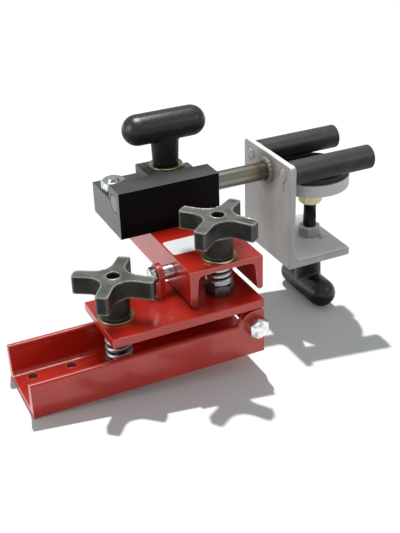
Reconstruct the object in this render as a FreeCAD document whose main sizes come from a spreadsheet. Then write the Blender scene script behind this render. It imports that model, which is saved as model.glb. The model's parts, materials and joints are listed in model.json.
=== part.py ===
"""Adjustable holding fixture, in millimetres.

A steel channel base bolts to a bench. A tilt plate is hinged across its right end and is set by
star knob 1; a second channel, the arm, pivots on the plate and is set by star knob 2. The arm
carries a split block that grips a round rod, and the rod carries an angle bracket with two
sleeved pegs above a pad that a screw pushes up.

Origin: centre of the four mounting holes, on the flat underside of the base. +X runs along the
base towards the hinge, +Y from the front to the back, +Z up.
"""
import FreeCAD, Part
import math
import os

import Sketcher

V = FreeCAD.Vector
X_AXIS = FreeCAD.Rotation(V(0, 1, 0), 90)      # turns a +Z solid to point along +X
Y_AXIS = FreeCAD.Rotation(V(1, 0, 0), -90)     # turns a +Z solid to point along +Y
Z_AXIS = FreeCAD.Rotation()

doc = FreeCAD.newDocument("holding_fixture")

# ---------------------------------------------------------------- driving dimensions
SIZES = {
    "hot-rolled channel, used for the base and the arm": {
        "channel_width": 76.2, "channel_height": 36.0, "web_thick": 5.5,
        "root_thick": 8.8, "toe_thick": 5.6, "root_fillet": 6.0, "toe_round": 2.4, "heel_round": 1.2,
    },
    "base": {
        "base_length": 234.0, "base_left": -35.9, "mount_pitch": 38.1, "mount_hole": 10.3,
        "ear_thick": 7.5, "ear_radius": 17.5, "ear_foot": 13.9,
    },
    "hinge of the tilt plate, about Y": {
        "hinge_x": 189.1, "hinge_z": 31.4, "leaf_thick": 7.2, "leaf_radius": 11.0, "leaf_gap": 0.4,
        "pin_diameter": 12.7, "pin_hole": 12.8, "pin_head_af": 19.05, "pin_head": 8.0, "pin_nut": 11.0,
    },
    "tilt plate": {
        "plate_left": 43.6, "plate_bottom": 50.0, "plate_thick": 9.0,
    },
    "star knobs, their studs, springs and nuts": {
        "knob_reach": 39.0, "knob_prong": 12.5, "knob_prong_tall": 19.0, "knob_tall": 41.2,
        "knob_hub": 27.5, "knob_web": 16.0, "knob_bore": 13.0,
        "washer_od": 34.9, "washer_thick": 2.5, "stud_diameter": 12.7, "stud_hole": 13.4,
        "loose_hole": 17.2, "thread_hole": 13.0, "lock_nut_af": 25.4, "lock_nut_tall": 11.5,
        "spring_od": 26.5, "spring_wire": 4.4, "spring_gap": 0.3,
        "knob1_x": 61.4, "knob1_y": -0.7, "knob1_turn": 53.0, "stud1_bottom": 11.8,
        "knob2_x": 167.1, "knob2_y": -4.1, "knob2_turn": 38.0, "stud2_bottom": 66.0,
    },
    "arm and its pivot, about X": {
        "arm_centre": 166.9, "arm_front": -22.2, "arm_top": 97.3, "arm_length": 169.6,
        "pivot_y": 17.9, "pivot_z": 81.5, "lug_radius": 10.5, "lug_thick": 6.35,
        "lug_outer": 109.8, "lug_inner": 180.0, "lug_inner_radius": 9.3,
        "pivot_diameter": 9.5, "pivot_hole": 9.6,
        "pivot_head_af": 14.3, "pivot_head": 6.0, "spacer_od": 14.3, "pivot_end": 204.0,
        "label_length": 38.0, "label_width": 28.8, "label_thick": 0.2, "label_x": 130.0, "label_y": 17.4,
    },
    "split block on the arm": {
        "block_left": 97.5, "block_right": 206.0, "block_front": 71.2, "block_back": 147.4,
        "block_top": 146.5, "strip_back": 98.0, "jaw_left": 140.6, "jaw_right": 182.5,
        "jaw_back": 133.4, "slit_bottom": 130.2, "slit_top": 131.8, "jaw_corner": 3.0,
        "rod_y": 85.7, "rod_z": 131.0, "rod_diameter": 19.05, "rod_hole": 19.15,
        "side_bolt_x": 110.9, "side_bolt_y": 119.6, "side_nut_af": 22.2, "side_nut_tall": 11.1,
        "side_bolt_top": 143.4, "screw_x": 15.0, "screw_y": 98.0, "screw_diameter": 9.5,
        "screw_head_af": 14.3, "screw_head": 6.0, "screw_depth": 22.0,
    },
    "T-handles": {
        "handle_x": 167.2, "handle_y": 115.5, "bar_radius": 15.75, "bar_half": 28.9,
        "stem_height": 40.5, "stem_foot": 13.3, "stem_neck": 14.8, "handle_clear": 0.3,
        "handle_nut_af": 19.05, "handle_nut_tall": 11.0, "handle_bore_deep": 26.0,
    },
    "rod and clamp angle": {
        "rod_left": 97.5, "rod_chamfer": 1.0, "weld_width": 5.0, "weld_height": 4.0,
        "angle_left": 268.6, "angle_tall": 115.4, "angle_wide": 99.0, "angle_long": 77.0,
        "angle_thick": 7.94, "angle_bottom": 35.2, "angle_root": 7.0, "angle_toe": 3.0,
        "peg_gap": 68.0, "peg_z": 137.5, "peg_core_d": 15.9, "peg_od": 25.4, "peg_end": 372.5,
        "peg_cap": 6.0, "angle_corner": 5.0,
    },
    "clamp screw and pad": {
        "screw_axis_x": 323.1, "clamp_screw_od": 14.3, "clamp_nut_hole": 14.6,
        "leg_nut_af": 22.2, "leg_nut_tall": 11.0, "pad_radius": 41.0,
        "pad_bottom": 105.0, "pad_disc": 13.6, "pad_rubber": 5.5, "swivel_radius": 12.5,
        "swivel_tall": 11.0, "pad_nut_af": 22.2, "pad_nut_tall": 11.0, "lower_bar_z": -17.6,
    },
}
sheet = doc.addObject("Spreadsheet::Sheet", "dims")
row = 1
for group, cells in SIZES.items():
    sheet.set(f"A{row}", group)
    row += 1
    for alias, value in cells.items():
        sheet.set(f"A{row}", alias)
        sheet.set(f"B{row}", str(value))
        sheet.setAlias(f"B{row}", alias)
        row += 1
doc.recompute()


def expand(text):
    """Put the sheet's name before each alias in an expression written with bare aliases."""
    words = []
    word = ""
    for letter in str(text) + " ":
        if letter.isalnum() or letter in "_.":
            word += letter
            continue
        words.append("dims." + word if word in ALIASES else word)
        words.append(letter)
        word = ""
    return "".join(words).strip()


ALIASES = {alias for cells in SIZES.values() for alias in cells}


def number(text):
    """The value of an expression written with bare aliases."""
    value = sheet.evalExpression(expand(text))
    return float(getattr(value, "Value", value))


def bind(item, **sizes):
    for name, text in sizes.items():
        item.setExpression(name, expand(text))


def place(item, x, y, z, turn=Z_AXIS):
    item.Placement = FreeCAD.Placement(V(number(x), number(y), number(z)), turn)
    for axis, text in zip("xyz", (x, y, z)):
        item.setExpression("Placement.Base." + axis, expand(text))
    return item


# ---------------------------------------------------------------- Part primitives
made = {}


def part(label, item):
    """Register a finished sub-part: its label is the name of its node and file."""
    item.Label = label
    made[label] = item
    return item


def cylinder(name, radius, height, x, y, z, turn=Z_AXIS):
    item = doc.addObject("Part::Cylinder", name)
    bind(item, Radius=radius, Height=height)
    return place(item, x, y, z, turn)


def cone(name, bottom, top, height, x, y, z, turn=Z_AXIS):
    item = doc.addObject("Part::Cone", name)
    bind(item, Radius1=bottom, Radius2=top, Height=height)
    return place(item, x, y, z, turn)


def sphere(name, radius, x, y, z):
    item = doc.addObject("Part::Sphere", name)
    bind(item, Radius=radius)
    return place(item, x, y, z)


def box(name, x0, x1, y0, y1, z0, z1):
    item = doc.addObject("Part::Box", name)
    bind(item, Length=f"({x1})-({x0})", Width=f"({y1})-({y0})", Height=f"({z1})-({z0})")
    return place(item, x0, y0, z0)


def hexagon(name, across_flats, height, x, y, z, turn=Z_AXIS):
    """A hexagonal prism whose corners are taken off by a cone, as on a nut or a bolt head."""
    prism = doc.addObject("Part::Prism", name + "_prism")
    prism.Polygon = 6
    bind(prism, Circumradius=f"({across_flats})/2/cos(30 deg)", Height=height)
    place(prism, x, y, z, turn)
    blank = doc.addObject("Part::Cone", name + "_blank")
    bind(blank, Radius1=f"({across_flats})/2*1.34", Radius2=f"({across_flats})/2*0.98", Height=height)
    place(blank, x, y, z, turn)
    return both(name, prism, blank)


def both(name, one, other):
    item = doc.addObject("Part::Common", name)
    item.Base, item.Tool = one, other
    return item


def cut(name, base, *tools):
    for index, tool in enumerate(tools):
        item = doc.addObject("Part::Cut", f"{name}_{index}")
        item.Base, item.Tool = base, tool
        base = item
    return base


def fuse(name, base, *others):
    for index, other in enumerate(others):
        item = doc.addObject("Part::Fuse", f"{name}_{index}")
        item.Base, item.Tool = base, other
        base = item
    return base


# ---------------------------------------------------------------- PartDesign helpers
def new_body(label):
    body = doc.addObject("PartDesign::Body", label)
    return part(label, body)


def plane(body, role):
    return next(item for item in body.Origin.OriginFeatures if item.Role == role)


def sketch_on(body, name, role, lift="0"):
    """A sketch on one of the body's own origin planes, lifted along the plane's normal."""
    sketch = body.newObject("Sketcher::SketchObject", name)
    sketch.AttachmentSupport = (plane(body, role), "")
    sketch.MapMode = "FlatFace"
    sketch.setExpression("AttachmentOffset.Base.z", expand(lift))
    return sketch


def pin_point(sketch, index, point, x, y):
    """Tie a point of the sketch to the origin by two dimensions that follow the sheet."""
    for kind, text in (("DistanceX", x), ("DistanceY", y)):
        constraint = sketch.addConstraint(Sketcher.Constraint(kind, -1, 1, index, point, number(text)))
        sketch.setExpression(f"Constraints[{constraint}]", expand(text))


def outline(sketch, corners):
    """A closed outline through corners, each given as two expressions."""
    points = [V(number(x), number(y), 0) for x, y in corners]
    first = sketch.GeometryCount
    count = len(points)
    for index in range(count):
        sketch.addGeometry(Part.LineSegment(points[index], points[(index + 1) % count]), False)
    for index in range(count):
        after = first + (index + 1) % count
        sketch.addConstraint(Sketcher.Constraint("Coincident", first + index, 2, after, 1))
    for index, (x, y) in enumerate(corners):
        pin_point(sketch, first + index, 1, x, y)


def segment(sketch, start, end):
    """A straight line whose two ends follow the sheet."""
    line = Part.LineSegment(*(V(number(x), number(y), 0) for x, y in (start, end)))
    index = sketch.addGeometry(line, False)
    pin_point(sketch, index, 1, *start)
    pin_point(sketch, index, 2, *end)


def hollow(sketch, centre, radius, first, last):
    """An arc about a centre, between two angles in degrees. Its ends are tied by the caller."""
    middle = V(number(centre[0]), number(centre[1]), 0)
    whole = Part.Circle(middle, V(0, 0, 1), number(radius))
    index = sketch.addGeometry(Part.ArcOfCircle(whole, math.radians(first), math.radians(last)), False)
    constraint = sketch.addConstraint(Sketcher.Constraint("Radius", index, number(radius)))
    sketch.setExpression(f"Constraints[{constraint}]", expand(radius))


def turned(quarters, x, y):
    """A point's two expressions after so many quarter turns about the origin."""
    for _ in range(quarters % 4):
        x, y = f"-({y})", x
    return x, y


def circle(sketch, x, y, diameter):
    centre = V(number(x), number(y), 0)
    index = sketch.addGeometry(Part.Circle(centre, V(0, 0, 1), number(diameter) / 2), False)
    constraint = sketch.addConstraint(Sketcher.Constraint("Radius", index, number(diameter) / 2))
    sketch.setExpression(f"Constraints[{constraint}]", expand(f"({diameter})/2"))
    pin_point(sketch, index, 3, x, y)


def pad(body, sketch, length, reverse=False):
    feature = body.newObject("PartDesign::Pad", "pad")
    feature.Profile = sketch
    feature.Reversed = reverse
    bind(feature, Length=length)
    doc.recompute()
    return feature


def pocket(body, sketch, both_ways=False, reverse=False, length=None):
    """Cut a sketch through the solid; an unchanged volume means that it missed."""
    doc.recompute()
    before = body.Shape.Volume
    feature = body.newObject("PartDesign::Pocket", "pocket")
    feature.Profile = sketch
    feature.Reversed = reverse
    if length is None:
        feature.Type = "ThroughAll"
        feature.Midplane = both_ways
    else:
        bind(feature, Length=length)
    doc.recompute()
    if not body.Shape.Volume < before - 1e-3:
        raise RuntimeError(f"{body.Label}: {sketch.Name} cuts nothing")
    return feature


def edges_where(shape, test):
    """Names of the straight edges whose middle point and direction pass the test."""
    names = []
    for index, edge in enumerate(shape.Edges):
        if edge.Curve.TypeId != "Part::GeomLine":
            continue
        middle = edge.valueAt((edge.FirstParameter + edge.LastParameter) / 2)
        along = edge.tangentAt(edge.FirstParameter)
        if test(middle, along):
            names.append(f"Edge{index + 1}")
    return names


def round_edges(body, radius, test):
    doc.recompute()
    tip = body.Tip
    names = edges_where(tip.Shape, test)
    if not names:
        raise RuntimeError(f"{body.Label}: no edge to round")
    feature = body.newObject("PartDesign::Fillet", "round")
    feature.Base = (tip, names)
    bind(feature, Radius=radius)
    doc.recompute()
    return feature


def near(value, text, margin=0.05):
    return abs(value - number(text)) < margin


# ---------------------------------------------------------------- channels
def channel(label, length):
    """A channel lying open side up: +X along it, its web on z = 0, centred on y = 0."""
    body = new_body(label)
    profile = sketch_on(body, label + "_profile", "YZ_Plane")
    half, tall, web = "channel_width/2", "channel_height", "web_thick"
    outline(profile, [
        (f"-{half}", "0"), (half, "0"), (half, tall), (f"{half}-toe_thick", tall),
        (f"{half}-root_thick", web), (f"-{half}+root_thick", web), (f"-{half}+toe_thick", tall),
        (f"-{half}", tall),
    ])
    pad(body, profile, length)
    along_x = lambda edge: abs(edge.x) > 0.999
    round_edges(body, "root_fillet", lambda p, d: along_x(d) and near(p.z, web))
    round_edges(body, "toe_round", lambda p, d: along_x(d) and near(p.z, tall))
    round_edges(body, "heel_round", lambda p, d: along_x(d) and near(p.z, "0"))
    return body


base = channel("base_channel", "base_length")
mount_holes = sketch_on(base, "mount_holes", "XY_Plane")
for side in ("-", "+"):
    for end in ("-", "+"):
        circle(mount_holes, f"-base_left{end}mount_pitch/2", f"{side}mount_pitch/2", "mount_hole")
pocket(base, mount_holes, both_ways=True)
ear_notch = sketch_on(base, "ear_notch", "XZ_Plane")
outline(ear_notch, [
    ("hinge_x-base_left-ear_radius", "ear_foot"), ("base_length+1", "ear_foot"),
    ("base_length+1", "channel_height+1"), ("hinge_x-base_left-ear_radius", "channel_height+1"),
])
pocket(base, ear_notch, both_ways=True)
place(base, "base_left", "0", "0")

arm = channel("arm_channel", "arm_length")
web_holes = sketch_on(arm, "web_holes", "XY_Plane")
circle(web_holes, "knob2_y-arm_front", "knob2_x-arm_centre", "stud_hole")
circle(web_holes, "handle_y-arm_front", "handle_x-arm_centre", "stud_hole")
for side in ("-", "+"):
    circle(web_holes, "screw_y-arm_front", f"{side}screw_x", "screw_diameter+0.4")
pocket(arm, web_holes, both_ways=True)
pivot_holes = sketch_on(arm, "pivot_holes", "XZ_Plane")
circle(pivot_holes, "pivot_y-arm_front", "arm_top-pivot_z", "pivot_hole")
pocket(arm, pivot_holes, both_ways=True)
opening_down = FreeCAD.Rotation(V(0, 0, 1), 90).multiply(FreeCAD.Rotation(V(1, 0, 0), 180))
place(arm, "arm_centre", "arm_front", "arm_top", opening_down)


# ---------------------------------------------------------------- hinge between base and tilt plate
def ear(label, inner, outer):
    """A rounded lug let into the end of a flange, cut off flush with the end of the base."""
    end = "base_left+base_length"
    top = cylinder(label + "_top", "ear_radius", f"({outer})-({inner})", "hinge_x", inner, "hinge_z",
                   Y_AXIS)
    shank = box(label + "_shank", "hinge_x-ear_radius", end, inner, outer, "ear_foot", "hinge_z")
    whole = fuse(label, top, shank)
    beyond = box(label + "_end", end, f"{end}+20", f"({inner})-1", f"({outer})+1", "0", "80")
    hole = cylinder(label + "_hole", "pin_hole/2", f"({outer})-({inner})+2", "hinge_x",
                    f"({inner})-1", "hinge_z", Y_AXIS)
    return part(label, cut(label + "_cut", whole, beyond, hole))


def leaf(label, inner, outer):
    """A lug that hangs from the tilt plate, just inside an ear."""
    end = "base_left+base_length"
    bottom = cylinder(label + "_eye", "leaf_radius", f"({outer})-({inner})", "hinge_x", inner,
                      "hinge_z", Y_AXIS)
    shank = box(label + "_shank", "hinge_x-leaf_radius", end, inner, outer, "hinge_z", "plate_bottom")
    whole = fuse(label, bottom, shank)
    beyond = box(label + "_end", end, f"{end}+20", f"({inner})-1", f"({outer})+1", "0", "80")
    hole = cylinder(label + "_hole", "pin_hole/2", f"({outer})-({inner})+2", "hinge_x",
                    f"({inner})-1", "hinge_z", Y_AXIS)
    return part(label, cut(label + "_cut", whole, beyond, hole))


EAR_OUT = "channel_width/2"
EAR_IN = "(channel_width/2-ear_thick)"
LEAF_OUT = "(channel_width/2-ear_thick-leaf_gap)"
LEAF_IN = "(channel_width/2-ear_thick-leaf_gap-leaf_thick)"
ear("base_ear_front", f"-{EAR_OUT}", f"-{EAR_IN}")
ear("base_ear_back", EAR_IN, EAR_OUT)
leaf("hinge_leaf_front", f"-{LEAF_OUT}", f"-{LEAF_IN}")
leaf("hinge_leaf_back", LEAF_IN, LEAF_OUT)

pin_shank = cylinder("hinge_pin_shank", "pin_diameter/2", "channel_width+15", "hinge_x",
                     "-channel_width/2", "hinge_z", Y_AXIS)
towards_front = FreeCAD.Rotation(V(1, 0, 0), 90)
pin_head = hexagon("hinge_pin_head", "pin_head_af", "pin_head", "hinge_x", "-channel_width/2",
                   "hinge_z", towards_front)
part("hinge_bolt", fuse("hinge_bolt_whole", pin_head, pin_shank))
nut_blank = hexagon("hinge_nut_blank", "pin_head_af", "pin_nut", "hinge_x", "channel_width/2+0.1",
                    "hinge_z", Y_AXIS)
nut_hole = cylinder("hinge_nut_hole", "pin_diameter/2+0.05", "pin_nut+2", "hinge_x",
                    "channel_width/2-1", "hinge_z", Y_AXIS)
part("hinge_nut", cut("hinge_nut_cut", nut_blank, nut_hole))

# ---------------------------------------------------------------- tilt plate
plate = new_body("tilt_plate")
plate_outline = sketch_on(plate, "plate_outline", "XY_Plane", "plate_bottom")
half = "channel_width/2"
plate_end = "base_left+base_length"
outline(plate_outline, [("plate_left", f"-{half}"), (plate_end, f"-{half}"), (plate_end, half),
                        ("plate_left", half)])
pad(plate, plate_outline, "plate_thick")
plate_hole = sketch_on(plate, "plate_hole", "XY_Plane", "plate_bottom+plate_thick")
circle(plate_hole, "knob1_x", "knob1_y", "stud_hole")
pocket(plate, plate_hole)
round_edges(plate, "0.8", lambda p, d: abs(d.z) < 0.01)


# ---------------------------------------------------------------- studs, lock nuts and springs
def ring(label, outer, inner, height, x, y, z):
    """A washer or a plain ring standing on z."""
    disc = cylinder(label + "_disc", f"({outer})/2", height, x, y, z)
    hole = cylinder(label + "_hole", f"({inner})/2", f"({height})+2", x, y, f"({z})-1")
    return part(label, cut(label + "_cut", disc, hole))


def nut(label, across_flats, height, x, y, z, hole):
    blank = hexagon(label + "_blank", across_flats, height, x, y, z)
    bore = cylinder(label + "_bore", f"({hole})/2", f"({height})+2", x, y, f"({z})-1")
    return part(label, cut(label + "_cut", blank, bore))


def spring(label, x, y, bottom, top):
    """An open-ended coil spring that stands between two faces."""
    turns = max(2, round((number(top) - number(bottom)) / 7))
    free = f"(({top})-({bottom})-2*spring_gap-spring_wire)"
    helix = doc.addObject("Part::Helix", label + "_helix")
    bind(helix, Radius="(spring_od-spring_wire)/2", Pitch=f"{free}/{turns}", Height=free)
    wire = doc.addObject("Part::Circle", label + "_wire")
    bind(wire, Radius="spring_wire/2")
    wire.Placement = FreeCAD.Placement(V(number("(spring_od-spring_wire)/2"), 0, 0),
                                       FreeCAD.Rotation(V(1, 0, 0), 90))
    wire.setExpression("Placement.Base.x", expand("(spring_od-spring_wire)/2"))
    coil = doc.addObject("Part::Sweep", label + "_coil")
    coil.Sections = [wire]
    coil.Spine = (helix, ["Edge1"])
    coil.Solid = True
    coil.Frenet = True
    place(coil, x, y, f"({bottom})+spring_gap+spring_wire/2")
    return part(label, coil)


plate_top = "plate_bottom+plate_thick"
nut("lock_nut_1", "lock_nut_af", "lock_nut_tall", "knob1_x", "knob1_y", "web_thick", "loose_hole")
nut("lock_nut_2", "lock_nut_af", "lock_nut_tall", "knob2_x", "knob2_y", plate_top, "loose_hole")
spring("spring_1", "knob1_x", "knob1_y", "web_thick+lock_nut_tall", "plate_bottom")
spring("spring_2", "knob2_x", "knob2_y", f"{plate_top}+lock_nut_tall", "arm_top-web_thick")
part("stud_1", cylinder("stud_1_rod", "stud_diameter/2",
                        f"{plate_top}+washer_thick+knob_tall-9-stud1_bottom",
                        "knob1_x", "knob1_y", "stud1_bottom"))
part("stud_2", cylinder("stud_2_rod", "stud_diameter/2", "arm_top+washer_thick+knob_tall-9-stud2_bottom",
                        "knob2_x", "knob2_y", "stud2_bottom"))
ring("knob_washer_1", "washer_od", "stud_hole", "washer_thick", "knob1_x", "knob1_y", plate_top)
ring("knob_washer_2", "washer_od", "stud_hole", "washer_thick", "knob2_x", "knob2_y", "arm_top")


# ---------------------------------------------------------------- star knobs
def star_knob(label, x, y, z, turn):
    """A cast hub with four prongs joined by hollow curves."""
    body = new_body(label)
    hub = sketch_on(body, label + "_hub", "XY_Plane")
    circle(hub, "0", "0", "knob_hub")
    pad(body, hub, "knob_tall-knob_prong_tall")
    star = sketch_on(body, label + "_star", "XY_Plane", "knob_tall-knob_prong_tall")
    w, reach, bend = "knob_prong/2", "knob_reach", "knob_prong/2+knob_web"
    for quarter in range(4):
        near_side = turned(quarter, reach, w), turned(quarter, bend, w)
        far_side = turned(quarter, w, bend), turned(quarter, w, reach)
        start = star.GeometryCount
        segment(star, *near_side)
        hollow(star, turned(quarter, bend, bend), "knob_web", 180 + 90 * quarter, 270 + 90 * quarter)
        segment(star, *far_side)
        segment(star, far_side[1], turned(quarter + 1, reach, w))
        star.addConstraint(Sketcher.Constraint("Coincident", start, 2, start + 1, 2))
        star.addConstraint(Sketcher.Constraint("Coincident", start + 1, 1, start + 2, 1))
    pad(body, star, "knob_prong_tall")
    reach_mm = number("knob_reach")
    round_edges(body, "2.4", lambda p, d: abs(d.z) > 0.999 and max(abs(p.x), abs(p.y)) > reach_mm - 0.1)
    bore = sketch_on(body, label + "_bore", "XY_Plane", "knob_tall")
    circle(bore, "0", "0", "knob_bore")
    pocket(body, bore)
    return place(body, x, y, z, FreeCAD.Rotation(V(0, 0, 1), number(turn)))


star_knob("star_knob_1", "knob1_x", "knob1_y", f"{plate_top}+washer_thick", "knob1_turn")
star_knob("star_knob_2", "knob2_x", "knob2_y", "arm_top+washer_thick", "knob2_turn")


# ---------------------------------------------------------------- arm pivot
def lug(label, left, radius):
    """A rounded lug that stands on the tilt plate and carries the pivot bolt."""
    eye = cylinder(label + "_eye", radius, "lug_thick", left, "pivot_y", "pivot_z", X_AXIS)
    shank = box(label + "_shank", left, f"{left}+lug_thick", f"pivot_y-{radius}", f"pivot_y+{radius}",
                plate_top, "pivot_z")
    bore = cylinder(label + "_bore", "pivot_hole/2", "lug_thick+2", f"{left}-1", "pivot_y", "pivot_z",
                    X_AXIS)
    return part(label, cut(label + "_cut", fuse(label, eye, shank), bore))


lug("pivot_lug_outer", "lug_outer", "lug_radius")
lug("pivot_lug_inner", "lug_inner", "lug_inner_radius")
towards_left = FreeCAD.Rotation(V(0, 1, 0), -90)
pivot_head = hexagon("pivot_head", "pivot_head_af", "pivot_head", "lug_outer", "pivot_y", "pivot_z",
                     towards_left)
pivot_shank = cylinder("pivot_shank", "pivot_diameter/2", "pivot_end-lug_outer", "lug_outer", "pivot_y",
                       "pivot_z", X_AXIS)
part("pivot_bolt", fuse("pivot_bolt_whole", pivot_head, pivot_shank))
arm_left = "arm_centre-channel_width/2"
spacer_tube = cylinder("spacer_tube", "spacer_od/2", f"{arm_left}-lug_outer-lug_thick-0.4",
                       "lug_outer+lug_thick+0.1", "pivot_y", "pivot_z", X_AXIS)
spacer_hole = cylinder("spacer_hole", "pivot_hole/2", "20", "lug_outer+lug_thick-3", "pivot_y", "pivot_z",
                       X_AXIS)
part("pivot_spacer", cut("pivot_spacer_cut", spacer_tube, spacer_hole))
part("label_plate", box("label_sheet", "label_x", "label_x+label_length", "label_y",
                        "label_y+label_width", "arm_top", "arm_top+label_thick"))

# ---------------------------------------------------------------- split block
block = new_body("clamp_block")
lower = sketch_on(block, "lower_outline", "XY_Plane", "arm_top")
outline(lower, [("block_left", "block_front"), ("block_right", "block_front"),
                ("block_right", "block_back"), ("block_left", "block_back")])
pad(block, lower, "slit_bottom-arm_top")
upper = sketch_on(block, "upper_outline", "XY_Plane", "slit_bottom")
outline(upper, [
    ("block_left", "block_front"), ("block_right", "block_front"), ("block_right", "strip_back"),
    ("jaw_right", "strip_back"), ("jaw_right", "jaw_back"), ("jaw_left", "jaw_back"),
    ("jaw_left", "strip_back"), ("block_left", "strip_back"),
])
pad(block, upper, "block_top-slit_bottom")
upright = lambda edge: abs(edge.z) > 0.999
round_edges(block, "jaw_corner", lambda p, d: upright(d) and near(p.y, "strip_back")
            and (near(p.x, "jaw_left") or near(p.x, "jaw_right")))
slit = sketch_on(block, "slit", "YZ_Plane")
outline(slit, [("rod_y", "slit_bottom"), ("block_back+1", "slit_bottom"), ("block_back+1", "slit_top"),
               ("rod_y", "slit_top")])
pocket(block, slit, both_ways=True)
bore = sketch_on(block, "rod_bore", "YZ_Plane")
circle(bore, "rod_y", "rod_z", "rod_hole")
pocket(block, bore, both_ways=True)
down_holes = sketch_on(block, "down_holes", "XY_Plane", "block_top")
circle(down_holes, "handle_x", "handle_y", "stud_hole")
circle(down_holes, "side_bolt_x", "side_bolt_y", "stud_hole")
pocket(block, down_holes)
screw_holes = sketch_on(block, "screw_holes", "XY_Plane", "arm_top")
for side in ("-", "+"):
    circle(screw_holes, f"arm_centre{side}screw_x", "screw_y", "screw_diameter+0.1")
pocket(block, screw_holes, reverse=True, length="screw_depth-web_thick+1")

side_head = hexagon("side_head", "handle_nut_af", "pin_head", "side_bolt_x", "side_bolt_y",
                    "arm_top-pin_head")
side_shank = cylinder("side_shank", "pin_diameter/2", "side_bolt_top-arm_top", "side_bolt_x",
                      "side_bolt_y", "arm_top")
part("side_bolt", fuse("side_bolt_whole", side_head, side_shank))
nut("side_nut", "side_nut_af", "side_nut_tall", "side_bolt_x", "side_bolt_y", "slit_bottom",
    "pin_diameter+0.1")
screws = []
for index, side in enumerate("-+"):
    x = f"arm_centre{side}screw_x"
    head = hexagon(f"block_screw_head_{index}", "screw_head_af", "screw_head", x, "screw_y",
                   "arm_top-web_thick-screw_head")
    shank = cylinder(f"block_screw_shank_{index}", "screw_diameter/2", "screw_depth", x, "screw_y",
                     "arm_top-web_thick")
    screws.append(fuse(f"block_screw_{index}", head, shank))
screw_pair = doc.addObject("Part::Compound", "block_screw_pair")
screw_pair.Links = screws
part("block_screws", screw_pair)


# ---------------------------------------------------------------- T-handles
def t_handle(label, x, y, foot, sign, along, stud):
    """A moulded grip: a round-ended bar across a flared stem, bored for its stud.

    foot is the height of the stem's end, and sign is + where the bar is above it.
    """
    centre = f"({foot}){sign}stem_height"
    if along == "x":
        start, ends = (f"{x}-bar_half", y), ((f"{x}-bar_half", y), (f"{x}+bar_half", y))
        bar = cylinder(label + "_bar", "bar_radius", "2*bar_half", *start, centre, X_AXIS)
    else:
        start, ends = (x, f"{y}-bar_half"), ((x, f"{y}-bar_half"), (x, f"{y}+bar_half"))
        bar = cylinder(label + "_bar", "bar_radius", "2*bar_half", *start, centre, Y_AXIS)
    balls = [sphere(f"{label}_ball_{index}", "bar_radius", *end, centre) for index, end in enumerate(ends)]
    flip = Z_AXIS if sign == "+" else FreeCAD.Rotation(V(1, 0, 0), 180)
    stem = cone(label + "_stem", "stem_foot", "stem_neck", "stem_height-4", x, y, foot, flip)
    bore_start = f"({foot})-1" if sign == "+" else f"({foot})+1-handle_bore_deep"
    bore = cylinder(label + "_bore", f"{stud}/2+0.1", "handle_bore_deep", x, y, bore_start)
    return part(label, cut(label + "_cut", fuse(label, bar, *balls, stem), bore))


jaw_washer_z = "block_top"
ring("jaw_washer", "washer_od", "stud_hole", "washer_thick", "handle_x", "handle_y", jaw_washer_z)
upper_foot = "block_top+washer_thick+handle_clear"
t_handle("upper_t_handle", "handle_x", "handle_y", upper_foot, "+", "x", "stud_diameter")
stud_bottom = "arm_top-web_thick-handle_nut_tall-2"
part("jaw_stud", cylinder("jaw_stud_rod", "stud_diameter/2", f"({upper_foot})+22-({stud_bottom})",
                          "handle_x", "handle_y", stud_bottom))
nut("jaw_nut", "handle_nut_af", "handle_nut_tall", "handle_x", "handle_y",
    "arm_top-web_thick-handle_nut_tall", "thread_hole")

# ---------------------------------------------------------------- rod
rod_long = "(angle_left-rod_left)"
rod_blank = cylinder("rod_blank", "rod_diameter/2", rod_long, "rod_left", "rod_y", "rod_z", X_AXIS)
rod_point = cone("rod_point", "rod_diameter/2-rod_chamfer", f"rod_diameter/2-rod_chamfer+{rod_long}",
                 rod_long, "rod_left", "rod_y", "rod_z", X_AXIS)
part("slide_rod", both("slide_rod_whole", rod_blank, rod_point))
weld_cone = cone("weld_cone", "rod_diameter/2+0.6", "rod_diameter/2+weld_height", "weld_width",
                 "angle_left-weld_width", "rod_y", "rod_z", X_AXIS)
weld_hole = cylinder("weld_hole", "rod_diameter/2+0.05", "weld_width+2", "angle_left-weld_width-1",
                     "rod_y", "rod_z", X_AXIS)
part("rod_weld", cut("rod_weld_cut", weld_cone, weld_hole))

# ---------------------------------------------------------------- clamp angle and pegs
angle = new_body("clamp_angle")
angle_section = sketch_on(angle, "angle_section", "XZ_Plane", "-(rod_y-angle_wide/2)")
foot, left, thick = "angle_bottom", "angle_left", "angle_thick"
outline(angle_section, [
    (left, foot), (f"{left}+angle_long", foot), (f"{left}+angle_long", f"{foot}+{thick}"),
    (f"{left}+{thick}", f"{foot}+{thick}"), (f"{left}+{thick}", f"{foot}+angle_tall"),
    (left, f"{foot}+angle_tall"),
])
pad(angle, angle_section, "angle_wide", reverse=True)
across = lambda edge: abs(edge.y) > 0.999
round_edges(angle, "angle_root", lambda p, d: across(d) and near(p.x, f"{left}+{thick}")
            and near(p.z, f"{foot}+{thick}"))
round_edges(angle, "angle_corner", lambda p, d: (abs(d.x) > 0.999 and near(p.z, f"{foot}+angle_tall"))
            or (abs(d.z) > 0.999 and near(p.x, f"{left}+angle_long")))
round_edges(angle, "angle_toe", lambda p, d: across(d) and
            ((near(p.x, f"{left}+angle_long") and near(p.z, f"{foot}+{thick}"))
             or (near(p.x, f"{left}+{thick}") and near(p.z, f"{foot}+angle_tall"))))
round_edges(angle, "0.8", lambda p, d: across(d) and near(p.x, left))
leg_hole = sketch_on(angle, "leg_hole", "XY_Plane", f"{foot}+{thick}")
circle(leg_hole, "screw_axis_x", "rod_y", "clamp_screw_od+0.7")
pocket(angle, leg_hole)
peg_holes = sketch_on(angle, "peg_holes", "YZ_Plane", left)
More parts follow.
